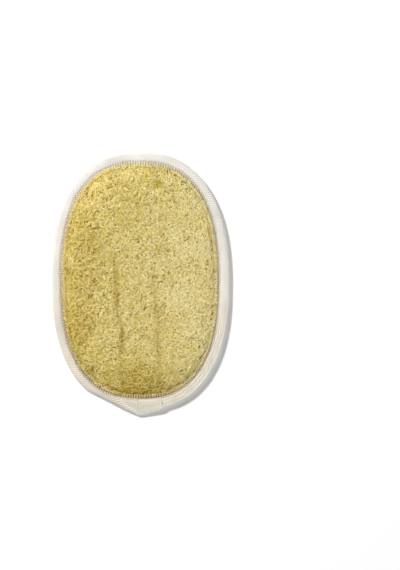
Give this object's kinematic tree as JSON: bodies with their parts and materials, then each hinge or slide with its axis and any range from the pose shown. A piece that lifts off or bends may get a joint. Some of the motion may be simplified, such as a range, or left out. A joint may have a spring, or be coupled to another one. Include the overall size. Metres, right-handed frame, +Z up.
{
  "type": "loofah bath pad",
  "caption": "Oval bath scrubbing pad with a crowned natural loofah face, a ribbed cloth back, a taped edge with a folded corner, and an elastic hand strap.",
  "frame": {"origin": "middle of the pad's bounding box, on the surface that its taped edge lies on", "axes": "+Y along the pad's length towards the round end, away from the tape's folded corner; +Z up through the loofah face; +X across the pad, along the strap"},
  "size_m": [0.115, 0.1712, 0.0205],
  "materials": {
    "loofah": "matte, open dried plant fibre",
    "back_cloth": "matte ribbed knit",
    "tape": "matte cotton twill",
    "elastic": "satin woven elastic",
    "thread": "matte sewing thread"
  },
  "bodies": {
    "root": {"loofah_face": "loofah", "ribbed_back": "back_cloth", "binding_tape": "tape", "elastic_strap": "elastic", "front_seam_thread": "thread", "back_seam_thread": "thread", "strap_thread_left": "thread", "strap_thread_right": "thread"}
  },
  "joints": []
}
